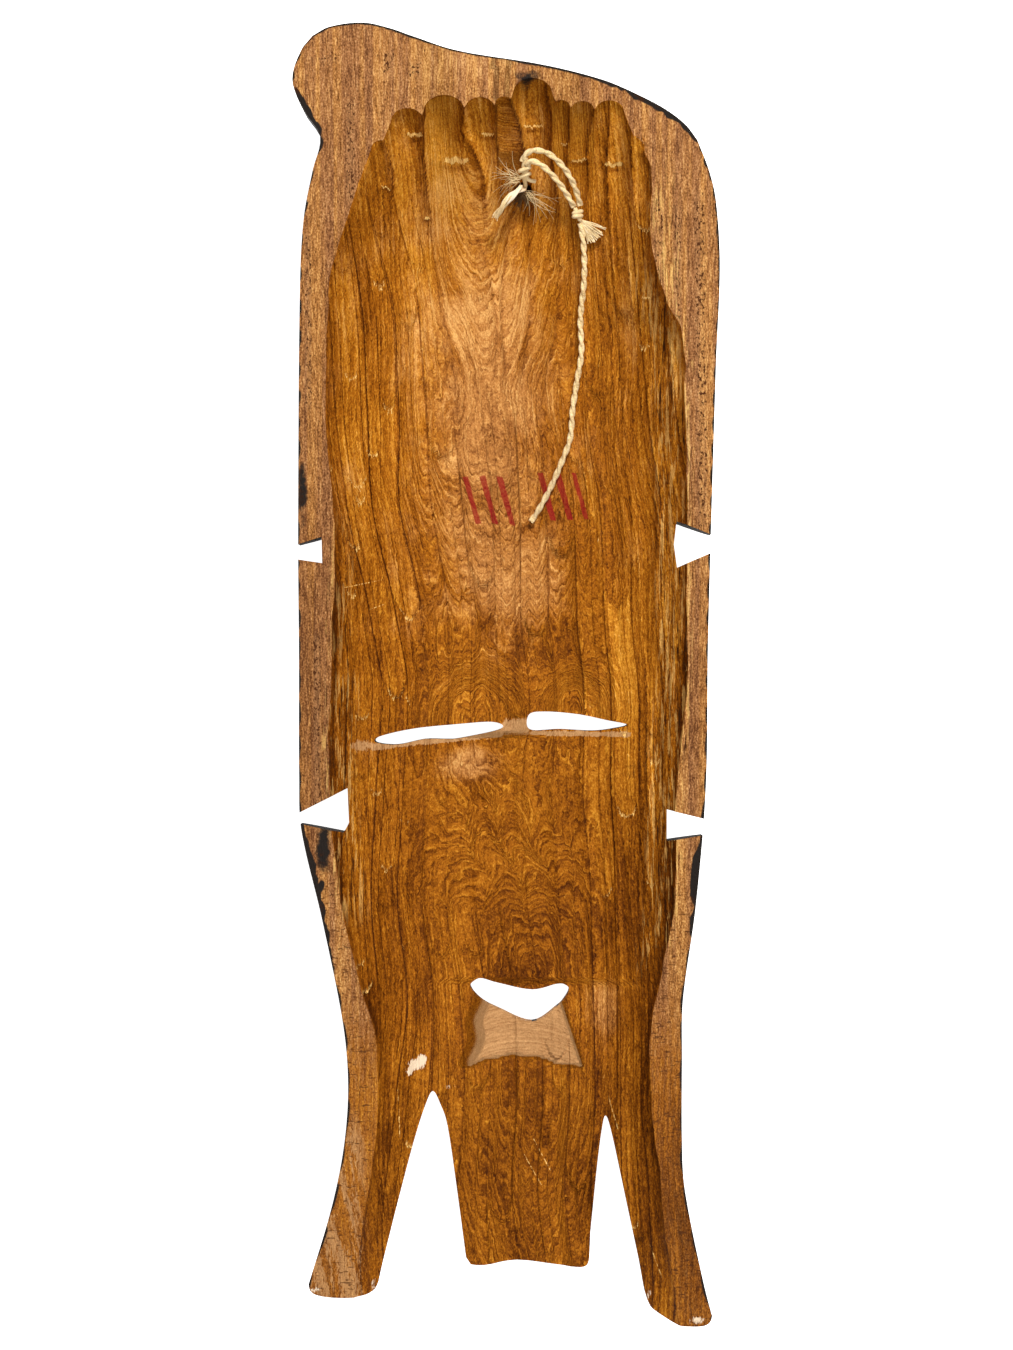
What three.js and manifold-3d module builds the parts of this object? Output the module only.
// A tall wooden face mask, carved from one block and hollowed behind. It lies on its face with the hollow
// back up. Millimetres: +Z is up, +Y runs towards the crest, and +X is to the right as the back is seen.
// A twine is held in a blind hole in the back. It has a short frayed end, and a loop closed by a knot
// with a long loose tail.
import * as THREE from "three";
import { mergeVertices } from "three/addons/utils/BufferGeometryUtils.js";
import Module from "manifold-3d";

const wasm = await Module();
wasm.setup();

// Overall sizes
const RIM_HEIGHT = 78; // the flat back rim, above what the mask lies on
const SIDE_WALL = 22; // upright side below the rim
const SHOULDER = 66; // how far in from the outline the front stays rounded
const BOTTOM_Y = -303; // the blank's lower end, past the feet
const FACE_X = 6; // the face's middle line

// The blank's outline: each side as [y, x], and the crest as [x, y]
const LEFT_EDGE = [
  [294, -89], [287.3, -94.3], [273.5, -98.4], [259.7, -93], [247.7, -85.6], [232, -89], [211, -93],
  [181, -94.8], [66, -95.7], [11, -95.3], [-48, -95.2], [-71, -94.3], [-113, -84.6], [-161, -75],
  [-189, -72.7], [-216, -74.5], [-244, -80], [-279, -90.4], [BOTTOM_Y, -98],
];
const RIGHT_EDGE = [
  [246, 88], [232, 93.4], [218, 96.6], [188, 98.4], [142, 96.6], [16, 93], [-51, 92], [-106, 87.4],
  [-150, 81.4], [-177, 81], [-216, 81], [-237, 82.3], [-279, 90.7], [BOTTOM_Y, 97],
];
const CREST_EDGE = [
  [-89, 294], [-81.5, 298], [-66, 300], [-53.4, 297.4], [-44.2, 294.2], [-23, 287.3], [18, 280.4],
  [45, 273.5], [61.2, 266.6], [74, 259.7], [82.8, 252.8], [88, 246],
];
const LEVEL_FROM = 126; // the rows of the carving run level below this height

// The hollow: its two long edges as [y, x], its depth down the middle as [y, depth]
const HOLLOW_LEFT = [
  [275, -50], [245, -61.6], [212, -72.7], [181, -81], [120, -82.8], [66, -78.7], [-2, -80.5],
  [-50, -81.4], [-97, -77], [-146, -66.2], [-168, -60], [-214, -60.3], [-273, -68.5], [-310, -72],
];
const HOLLOW_RIGHT = [
  [275, 46], [245, 60.3], [232, 67.2], [203, 66.6], [172, 73.4], [159, 80.6], [112, 82.8], [3, 82.8],
  [-55, 78.2], [-103, 77.3], [-137, 70.8], [-163, 66.7], [-190, 66.7], [-232, 70.8], [-310, 80.5],
];
const HOLLOW_DEPTH = [
  [280, 29], [240, 36], [200, 47], [150, 52], [100, 54], [30, 52], [-25, 47], [-110, 47],
  [-146, 45], [-165, 37], [-184, 29], [-230, 25], [-310, 19],
];
// The gouge strokes at the hollow's upper end: middle, half width and upper end
const FLUTES = [
  { x: -57.5, half: 4.5, top: 246 }, { x: -45.5, half: 7.5, top: 260.6 },
  { x: -28.5, half: 9.5, top: 266.6 }, { x: -12, half: 7, top: 265.6 }, { x: -0.9, half: 4.1, top: 266 },
  { x: 12.2, half: 9, top: 274.4 }, { x: 25.4, half: 4.2, top: 264.3 }, { x: 35.2, half: 5.6, top: 263.8 },
  { x: 47.6, half: 6.8, top: 264.3 }, { x: 59.8, half: 5.4, top: 248 },
];
const FLUTE_END = 5; // how far a stroke's round end reaches above its corners
const FLUTE_DEPTH = 2;
const FLUTE_FADE = 25;
const END_SLOPE = 22; // the hollow's end wall sinks over about this length
const EDGE_TOP = 240; // above this height only the strokes' round ends bound the hollow

// Openings cut right through, as seen from behind, [x, y]
const EYE_SLITS = [
  [[-60.4, -31.6], [-58.8, -28.8], [-43, -25.2], [-22, -23.1], [-7, -22.1], [-1.4, -24], [-5.4, -26.3],
    [-22, -29.7], [-28, -30.1], [-38, -30.1], [-50.6, -32.6]],
  [[10.8, -18.6], [19, -17.3], [34, -18.6], [46.6, -21.2], [56.5, -23.3], [50.8, -25], [40.6, -26.2],
    [25, -25.5], [11.2, -25.7]],
];
const MOUTH = [
  [-16.6, -145.6], [-14.3, -142.6], [-11, -141.9], [-3.7, -144], [12, -147], [23.5, -144.4],
  [27.4, -144.6], [29.3, -146.8], [27.1, -151.1], [23.5, -154.8], [12, -161.7], [-3.7, -155.7],
  [-11.7, -151.4],
];
const SIDE_NOTCHES = [
  [[-100, 58.6], [-84.9, 63.4], [-84.6, 51.3], [-100, 53.6]],
  [[97, 63.4], [78.8, 70.8], [77.6, 60], [79, 49.4], [97, 57.2]],
  [[-98, -65], [-73.4, -52.6], [-72.7, -68.5], [-75, -73], [-98, -68]],
  [[95, -67.4], [74.2, -62.2], [74.2, -76.8], [95, -73.2]],
];

// The lower end, from the left foot to the right one: feet, and the gaps between the strands of the beard
const LEFT_FOOT = [
  [-90.9, -280], [-90.2, -283.4], [-87.4, -285.4], [-81, -286.6], [-71.8, -286.8], [-64.9, -285.9],
  [-60.7, -283.6], [-58.9, -280.2],
];
const LEFT_GAP = [
  [-57, -271.6], [-50.1, -244], [-42.8, -216.4], [-37.7, -200.3], [-34, -193], [-30.4, -199.4],
  [-27.1, -209.5], [-23, -237], [-18.6, -270],
];
const MIDDLE_FOOT = [
  [-16.4, -273.4], [-9.7, -273.7], [5, -271.2], [24.8, -273.5], [34, -274.6], [37.6, -273.4], [38.6, -270],
];
const RIGHT_GAP = [
  [39.1, -258], [41.9, -230.2], [44.3, -211], [46.2, -204.3], [49.3, -214], [55.7, -244], [61.6, -271.6],
];
const RIGHT_FOOT = [
  [63.9, -284.5], [65.8, -290], [68.5, -293.3], [78.2, -299], [84.6, -300], [91.4, -299.6], [94.4, -297],
  [95, -292],
];

// The front: depth below the rim down the middle, as [y, depth]
const FRONT_DEPTH = [
  [305, 46], [275, 58], [245, 69], [210, 77], [185, 78], [30, 78], [14, 76], [0, 64], [-14, 61],
  [-110, 60], [-150, 58], [-185, 53], [-215, 46], [-250, 40], [-310, 32],
];
const BROW = { y: 0, arch: 10, drop: 12, inner: 3, outer: 66, thick: 6, proud: 3 };
const NOSE = {
  top: 4, tip: -120, foot: -128, narrow: 6, wide: 15, ridge: 5, bridge: 5, under: 12, inside: 34,
};
const NOSE_WING = { out: 11, up: 4, height: 14, radii: [8, 10, 10] };
const EYE_LIDS = [
  { x: -30.5, y: -27.4, tilt: 0.11 },
  { x: 34, y: -22.2, tilt: -0.06 },
];
const LID_RADII = [36, 12, 11];
const LIPS = { x: 6.4, y: -151.8, half: 29, up: 15, thick: 6, swell: 1.2 };
const EAR = { y: -4, out: 80, up: 42, bow: 9, thick: 5, proud: 3 };
const SCARS = { count: 3, y: -70, pitch: 12, x: 42, radii: [14, 3, 5], tilt: -0.35 };
const LEVEL_PROUD = 1; // how far the middles of lids, lips and scars stand above the plain front
// Hair grooves: spread at the brow and part of it left at the crest, and where they gather at the curl
const GROOVES = {
  count: 5, wide: 3.2, spread: 51, brow: 52, crest: 232, keep: 0.72, lean: -12, meet: [-60, 262],
  gather: 0.42, stagger: 9,
};
const BEARD_LINES = { count: 3, pitch: 14, top: -196, middle: -232, bottom: -268, flare: 0.15, wide: 2.4 };

// The twine, as routes over the hollow's floor: [x, y, how far its underside is above the floor]
const HOLE = { x: 8, y: 225.5, radius: 3.8, deep: 9 };
const TWINE = { radius: 1.4, stub: 1.6 };
const STUB_ROUTE = [
  [8, 225.3, -7.9], [8, 225.5, -3.7], [7.9, 225.8, 0.5], [7.3, 225.9, 4.5], [5.9, 225.1, 8.1],
  [3.9, 223.3, 10.3], [1.5, 220.7, 10.7], [-0.9, 217.9, 10.8], [-3, 215.1, 10.3], [-5, 212.2, 9],
];
const LOOP_ROUTE = [
  [31.4, 217.4, 2.8], [29, 221.4, 5.5], [25.7, 226.2, 8], [21.8, 230.8, 9.4], [17.9, 234.5, 11.5],
  [14.1, 237, 10.8], [11.2, 237.6, 9.4], [9.1, 236.8, 8.3], [7.6, 237.6, 7.6], [8.6, 240, 8.1],
  [10.7, 241.8, 9.1], [13.6, 242.4, 10], [18, 241.5, 10.7], [22.4, 238.8, 7.9], [26.8, 234.4, 7.9],
  [30.4, 229, 5.5], [33, 223, 3.9], [34.4, 218, 1.9],
];
const KNOT = { x: 33.2, y: 213.8, lift: 2, radius: 2.4 };
const TAIL_ROUTE = [
  [34.4, 209.9, 1.8], [35.2, 206, 1.4], [36, 200.6, 1.1], [36.5, 190.6, 1.1], [36.2, 181.4, 1.1],
  [34.7, 166, 1.1], [35.2, 150.6, 1.1], [33.1, 137, 1.1], [31.1, 124, 1.1], [30, 110.6, 1.1],
  [26, 99.4, 1.1], [20.8, 87.4, 1.1], [15.8, 78, 1.1], [11.6, 71.6, 1.1],
];

// A value on a smooth curve through hand-picked [at, value] stations
function through(stations, at) {
  const rising = stations[1][0] > stations[0][0];
  const list = rising ? stations : [...stations].reverse();
  const last = list.length - 2;
  let i = 0;
  while (i < last && at > list[i + 1][0]) i += 1;
  const slope = (a, b) => (list[b][1] - list[a][1]) / (list[b][0] - list[a][0]);
  const span = list[i + 1][0] - list[i][0];
  const t = THREE.MathUtils.clamp((at - list[i][0]) / span, 0, 1);
  const leave = i > 0 ? slope(i - 1, i + 1) : slope(0, 1);
  const arrive = i < last ? slope(i, i + 2) : slope(i, i + 1);
  const a = list[i][1];
  const b = list[i + 1][1];
  const t2 = t * t;
  const t3 = t2 * t;
  return (
    a * (2 * t3 - 3 * t2 + 1) + b * (3 * t2 - 2 * t3) +
    span * (leave * (t3 - 2 * t2 + t) + arrive * (t3 - t2))
  );
}

const smooth = (low, high, at) => THREE.MathUtils.smoothstep(at, low, high);

// The point of the blank at u across and v down: a sheet stretched between the four edges
function blankPoint(u, v) {
  const crestY = RIGHT_EDGE[0][0];
  const full = LEFT_EDGE[0][0] - crestY;
  const levelled = smooth(0, (crestY - LEVEL_FROM) / (crestY - BOTTOM_Y), v);
  const rightY = THREE.MathUtils.lerp(crestY, BOTTOM_Y, v);
  const leftY = rightY + full * (1 - levelled);
  const left = [through(LEFT_EDGE, leftY), leftY];
  const right = [through(RIGHT_EDGE, rightY), rightY];
  const crestX = THREE.MathUtils.lerp(CREST_EDGE[0][0], CREST_EDGE.at(-1)[0], u);
  const swell = through(CREST_EDGE, crestX) - THREE.MathUtils.lerp(LEFT_EDGE[0][0], crestY, u);
  return [left[0] * (1 - u) + right[0] * u, left[1] * (1 - u) + right[1] * u + swell * (1 - v) ** 6];
}

// The outline as one closed list of points, and a point's distance from it
const parts = (count) => Array.from({ length: count }, (_, k) => k / count);
const OUTLINE = [
  ...parts(60).map((u) => blankPoint(u, 0)),
  ...parts(160).map((v) => blankPoint(1, v)),
  ...parts(160).map((v) => blankPoint(0, 1 - v)),
];
function outlineDistance(x, y) {
  let best = Infinity;
  for (const [px, py] of OUTLINE) best = Math.min(best, Math.hypot(px - x, py - y));
  return best;
}

// How deep the front lies below the rim
function frontDepth(x, y) {
  const middle = Math.min(through(FRONT_DEPTH, y), RIM_HEIGHT);
  const inward = Math.min(outlineDistance(x, y) / SHOULDER, 1);
  return SIDE_WALL + (middle - SIDE_WALL) * Math.sqrt(1 - (1 - inward) ** 2);
}
const frontHeight = (x, y) => RIM_HEIGHT - frontDepth(x, y);

// The hollow's upper edge: the round ends of the gouge strokes
function hollowTop(x) {
  const ends = FLUTES.map((f) => f.top - FLUTE_END * ((x - f.x) / f.half) ** 2);
  return Math.max(...ends);
}

// The hollow's left and right edge at a height
const hollowEdges = (y) => [HOLLOW_LEFT, HOLLOW_RIGHT].map((edge) => through(edge, Math.min(y, EDGE_TOP)));

// How deep the hollow lies below the rim; negative outside it
function hollowDepth(x, y) {
  const [left, right] = hollowEdges(y);
  const across = Math.abs((2 * x - left - right) / (right - left));
  const below = hollowTop(x) - y;
  if (across >= 1 || below <= 0) return -0.6 - 0.3 * Math.max(0, -below);
  const wall = (1 - across ** 2.6) ** 0.7;
  const end = 1 - Math.exp(-below / END_SLOPE);
  const stroke = FLUTES.reduce((deepest, f) => Math.max(deepest, 1 - ((x - f.x) / f.half) ** 2), 0);
  return through(HOLLOW_DEPTH, y) * wall * end + FLUTE_DEPTH * stroke * end * Math.exp(-below / FLUTE_FADE);
}

const floorHeight = (x, y) => RIM_HEIGHT - hollowDepth(x, y);

// The hollow's width is followed by w, from -1 at its left edge to 1 at its right edge
function hollowX(w, y) {
  const [left, right] = hollowEdges(y);
  return (left * (1 - w) + right * (1 + w)) / 2;
}
const STROKE_Y = 262; // the strokes' round ends lie about here
const STROKE_SETTLE = 30; // below them the rows of the cutter run level after about this length
const strokeX = (w) => hollowX(w, EDGE_TOP);

// A closed geometry as a solid to cut and join
function solidOf(geometry) {
  const bare = new THREE.BufferGeometry();
  bare.setAttribute("position", geometry.attributes.position);
  bare.setIndex(geometry.index);
  const merged = mergeVertices(bare, 1e-4);
  const vertProperties = new Float32Array(merged.attributes.position.array);
  const triVerts = new Uint32Array(merged.index.array);
  return new wasm.Manifold(new wasm.Mesh({ numProp: 3, vertProperties, triVerts }));
}

function geometryOf(solid) {
  const { vertProperties, triVerts, numProp } = solid.getMesh();
  const count = vertProperties.length / numProp;
  const position = new Float32Array(count * 3);
  for (let i = 0; i < count; i += 1) {
    position.set(vertProperties.subarray(i * numProp, i * numProp + 3), i * 3);
  }
  const geometry = new THREE.BufferGeometry();
  geometry.setAttribute("position", new THREE.BufferAttribute(position, 3));
  geometry.setIndex(new THREE.BufferAttribute(triVerts, 1));
  geometry.computeVertexNormals();
  return geometry;
}

// A block with a carved underside: rows of [x, y, z] points below, upright sides, and a flat top
function carvedBlock(rows, top) {
  const across = rows[0].length;
  const down = rows.length;
  const position = rows.flat(2);
  const index = [];
  const at = (i, j) => i * across + j;
  for (let i = 0; i + 1 < down; i += 1) {
    for (let j = 0; j + 1 < across; j += 1) {
      index.push(at(i, j), at(i, j + 1), at(i + 1, j + 1), at(i, j), at(i + 1, j + 1), at(i + 1, j));
    }
  }
  const rim = [];
  for (let j = 0; j < across; j += 1) rim.push(at(0, j));
  for (let i = 1; i < down; i += 1) rim.push(at(i, across - 1));
  for (let j = across - 2; j >= 0; j -= 1) rim.push(at(down - 1, j));
  for (let i = down - 2; i > 0; i -= 1) rim.push(at(i, 0));
  const first = position.length / 3;
  const contour = rim.map((k) => new THREE.Vector2(position[3 * k], position[3 * k + 1]));
  for (const point of contour) position.push(point.x, point.y, top);
  rim.forEach((low, k) => {
    const next = (k + 1) % rim.length;
    index.push(low, first + k, first + next, low, first + next, rim[next]);
  });
  for (const [a, b, c] of THREE.ShapeUtils.triangulateShape(contour, [])) {
    const turn = (contour[b].x - contour[a].x) * (contour[c].y - contour[a].y) -
      (contour[b].y - contour[a].y) * (contour[c].x - contour[a].x);
    if (turn > 0) index.push(first + a, first + b, first + c);
    else index.push(first + a, first + c, first + b);
  }
  const geometry = new THREE.BufferGeometry();
  geometry.setAttribute("position", new THREE.Float32BufferAttribute(position, 3));
  geometry.setIndex(index);
  return solidOf(geometry);
}

// A prism through the whole mask, from a closed outline of points
function prism(shape, segments) {
  const past = 20;
  const depth = RIM_HEIGHT + 2 * past;
  const geometry = new THREE.ExtrudeGeometry(shape, { depth, bevelEnabled: false, curveSegments: segments });
  return solidOf(geometry.translate(0, 0, -past));
}

const vectors = (points) => points.map(([x, y]) => new THREE.Vector2(x, y));
const straightCutter = (points) => prism(new THREE.Shape(vectors(points)), 1);
function roundCutter(points) {
  const line = new THREE.SplineCurve(vectors([...points, points[0]]));
  return prism(new THREE.Shape(line.getPoints(points.length * 2).slice(0, -1)), 1);
}

// The blank: rounded front, upright sides and the flat rim plane
function blank() {
  const columns = 21;
  const full = RIGHT_EDGE[0][0] - BOTTOM_Y;
  const forehead = [0, 6, 12, 18, 25, 33, 43, 55, 69, 85, 102, 120, 138, 156, 174, 192, 206, 218];
  const brows = [226, 234, 242, 250, 258];
  const levels = [...forehead, ...brows];
  while (levels.at(-1) < full - 16) levels.push(levels.at(-1) + 15);
  levels.push(full);
  const rows = levels.map((down) => {
    const row = [];
    for (let k = 0; k < columns; k += 1) {
      const even = k / (columns - 1);
      const u = 0.5 * even + 0.5 * (0.5 - 0.5 * Math.cos(Math.PI * even));
      const [x, y] = blankPoint(u, down / full);
      row.push([x, y, frontHeight(x, y)]);
    }
    return row;
  });
  return carvedBlock(rows, RIM_HEIGHT);
}

// What the hollow takes away: one fine block for the gouge strokes at its end, and a plainer long one
function hollowBlock(across, steps) {
  const rows = steps.map((step) =>
    across.map((w) => {
      const bend = (hollowTop(strokeX(w)) - STROKE_Y) * Math.exp(-Math.max(step, 0) / STROKE_SETTLE);
      const y = STROKE_Y - step + bend;
      const x = hollowX(w, y);
      return [x, y, floorHeight(x, y)];
    }),
  );
  return carvedBlock(rows, RIM_HEIGHT + 12);
}

function hollowCutters() {
  const [left, right] = [strokeX(-1), strokeX(1)];
  const ends = FLUTES.flatMap((f) => [-1, -0.5, 0, 0.5].map((part) => f.x + part * f.half));
  const strokes = ends.map((x) => (2 * x - left - right) / (right - left)).filter((w) => Math.abs(w) < 0.95);
  const edge = [-1.01, -0.98];
  const upper = [-2.5, 1.5, 5, 9, 14, 20, 27, 35, 44];
  const lower = [40.5, 54, 70];
  while (lower.at(-1) < 570) lower.push(lower.at(-1) + 20);
  const even = [-0.92, -0.81, -0.67, -0.5, -0.26, 0, 0.2, 0.36, 0.5, 0.67, 0.81, 0.92];
  return [
    hollowBlock([...edge, ...strokes, 0.98, 1.01], upper),
    hollowBlock([...edge, ...even, 0.98, 1.01], lower),
  ];
}

// Everything below the feet and between the strands of the beard
function beardCutter() {
  const shape = new THREE.Shape();
  shape.moveTo(-110, -320);
  shape.lineTo(-110, -280);
  for (const run of [LEFT_FOOT, LEFT_GAP, MIDDLE_FOOT, RIGHT_GAP, RIGHT_FOOT]) {
    shape.lineTo(...run[0]);
    shape.splineThru(vectors(run.slice(1)));
  }
  shape.lineTo(110, -292);
  shape.lineTo(110, -320);
  shape.closePath();
  return prism(shape, 2);
}

// A rounded swelling: a stretched ball, turned in plan
function knob(x, y, z, radii, turn, sides = 12) {
  const geometry = new THREE.SphereGeometry(1, sides, sides / 2);
  geometry.rotateX(Math.PI / 2).scale(...radii).rotateZ(turn).translate(x, y, z);
  return solidOf(geometry);
}

// A round rod along points [x, y, z]
function rod(points, radius, sides, steps) {
  const path = new THREE.CatmullRomCurve3(points.map((p) => new THREE.Vector3(...p)));
  const section = new THREE.Shape();
  for (let k = 0; k < sides; k += 1) {
    const turn = (2 * Math.PI * k) / sides;
    const corner = [radius * Math.cos(turn), radius * Math.sin(turn)];
    if (k === 0) section.moveTo(...corner);
    else section.lineTo(...corner);
  }
  section.closePath();
  return new THREE.ExtrudeGeometry(section, { steps, extrudePath: path });
}
const onFront = (points, up) => points.map(([x, y]) => [x, y, frontHeight(x, y) + up]);

// The nose: a wedge that widens and rises to its tip, with two wings
function noseRelief() {
  const rows = [NOSE.top, -30, -75, NOSE.tip, NOSE.foot].map((y) => {
    const along = THREE.MathUtils.clamp((NOSE.top - y) / (NOSE.top - NOSE.tip), 0, 1);
    const half = THREE.MathUtils.lerp(NOSE.narrow, NOSE.wide, along);
    const ridge = y === NOSE.foot ? NOSE.under : THREE.MathUtils.lerp(NOSE.bridge, 0, along);
    const skin = frontHeight(FACE_X, -60) + 4;
    const section = [[-half, skin], [-NOSE.ridge, ridge], [NOSE.ridge, ridge], [half, skin]];
    return section.map(([x, z]) => [FACE_X + x, y, z]);
  });
  const wings = [-1, 1].map((side) =>
    knob(FACE_X + side * NOSE_WING.out, NOSE.tip + NOSE_WING.up, NOSE_WING.height, NOSE_WING.radii, 0),
  );
  return [carvedBlock(rows, NOSE.inside), ...wings];
}

// The brow: a raised arch over each eye
function browRelief(side) {
  const points = [0, 0.25, 0.5, 0.75, 1].map((t) => {
    const x = FACE_X + side * THREE.MathUtils.lerp(BROW.inner, BROW.outer, t);
    return [x, BROW.y + BROW.arch * Math.sin(Math.PI * t) - BROW.drop * t];
  });
  return solidOf(rod(onFront(points, BROW.proud), BROW.thick, 8, 9));
}

function lipsRelief() {
  const geometry = new THREE.TorusGeometry(LIPS.half, LIPS.thick, 6, 20);
  geometry.scale(1, (LIPS.up + LIPS.thick) / (LIPS.half + LIPS.thick), LIPS.swell);
  return solidOf(geometry.translate(LIPS.x, LIPS.y, frontHeight(LIPS.x, LIPS.y) + LEVEL_PROUD));
}

// An ear: a raised bow on the side, between the two notches
function earRelief(side) {
  const points = [-1, -0.5, 0, 0.5, 1].map((t) => {
    const x = side * (EAR.out + EAR.bow * (1 - t * t));
    return [x, EAR.y + EAR.up * t, frontHeight(side * EAR.out, EAR.y + EAR.up * t) + EAR.proud];
  });
  return solidOf(rod(points, EAR.thick, 8, 8));
}

// Three short bars on each cheek
function scarRelief(side) {
  const bars = [];
  for (let k = 0; k < SCARS.count; k += 1) {
    const y = SCARS.y - k * SCARS.pitch;
    const x = FACE_X + side * SCARS.x;
    bars.push(knob(x, y, frontHeight(x, y) + LEVEL_PROUD, SCARS.radii, side * SCARS.tilt, 8));
  }
  return bars;
}

// The dressed hair: grooves that fan up the forehead and gather towards the curl of the crest
function hairGroove(k) {
  const across = (2 * k) / (GROOVES.count - 1) - 1;
  const foot = [FACE_X + GROOVES.spread * across, GROOVES.brow];
  const middle = [foot[0], (GROOVES.brow + GROOVES.crest) / 2];
  const top = [foot[0] * GROOVES.keep + GROOVES.lean, GROOVES.crest];
  const endX = THREE.MathUtils.lerp(GROOVES.meet[0], foot[0], GROOVES.gather);
  const end = [endX, GROOVES.meet[1] - GROOVES.stagger * across];
  return solidOf(rod(onFront([foot, middle, top, end], 0), GROOVES.wide, 4, 8));
}

// The beard: grooves down its three strands
function beardGroove(k) {
  const x = FACE_X + (k - (BEARD_LINES.count - 1) / 2) * BEARD_LINES.pitch;
  const flare = (x - FACE_X) * BEARD_LINES.flare;
  const line = [
    [x, BEARD_LINES.top],
    [x + flare, BEARD_LINES.middle],
    [x + 2 * flare, BEARD_LINES.bottom],
  ];
  return solidOf(rod(onFront(line, 0), BEARD_LINES.wide, 4, 4));
}

// The blind hole that holds the twine
function twineHole() {
  const long = HOLE.deep + 20;
  const geometry = new THREE.CylinderGeometry(HOLE.radius, HOLE.radius, long, 12);
  const middle = floorHeight(HOLE.x, HOLE.y) - HOLE.deep + long / 2;
  return solidOf(geometry.rotateX(Math.PI / 2).translate(HOLE.x, HOLE.y, middle));
}

function carvedMask() {
  let mask = blank();
  const raised = [
    ...noseRelief(),
    ...EYE_LIDS.map(({ x, y, tilt }) => knob(x, y, frontHeight(x, y) + LEVEL_PROUD, LID_RADII, tilt)),
    lipsRelief(),
    ...[-1, 1].flatMap((side) => [browRelief(side), earRelief(side), ...scarRelief(side)]),
  ];
  for (const form of raised) mask = mask.add(form);
  const cuts = [
    ...hollowCutters(),
    beardCutter(),
    twineHole(),
    roundCutter(MOUTH),
    ...EYE_SLITS.map(roundCutter),
    ...SIDE_NOTCHES.map(straightCutter),
  ];
  for (let k = 0; k < GROOVES.count; k += 1) cuts.push(hairGroove(k));
  for (let k = 0; k < BEARD_LINES.count; k += 1) cuts.push(beardGroove(k));
  for (const cut of cuts) mask = mask.subtract(cut);
  return geometryOf(mask);
}

// A round cord along a route over the hollow's floor
function cord(route, radius, steps) {
  return rod(route.map(([x, y, lift]) => [x, y, floorHeight(x, y) + lift + radius]), radius, 8, steps);
}

function twineKnot() {
  const geometry = new THREE.SphereGeometry(KNOT.radius, 10, 6);
  return geometry.translate(KNOT.x, KNOT.y, floorHeight(KNOT.x, KNOT.y) + KNOT.lift + KNOT.radius);
}

const WOOD = new THREE.MeshStandardMaterial({ color: 0x9a5f22, roughness: 0.6, metalness: 0 });
const COTTON = new THREE.MeshStandardMaterial({ color: 0xe9cf9f, roughness: 0.85, metalness: 0 });

const root = new THREE.Group();
function place(name, geometry, material) {
  const piece = new THREE.Mesh(geometry, material);
  piece.name = name;
  root.add(piece);
}

place("carved_mask", carvedMask(), WOOD);
place("twine_stub", cord(STUB_ROUTE, TWINE.stub, 12), COTTON);
place("twine_loop", cord(LOOP_ROUTE, TWINE.radius, 22), COTTON);
place("twine_knot", twineKnot(), COTTON);
place("twine_tail", cord(TAIL_ROUTE, TWINE.radius, 24), COTTON);

export default root;
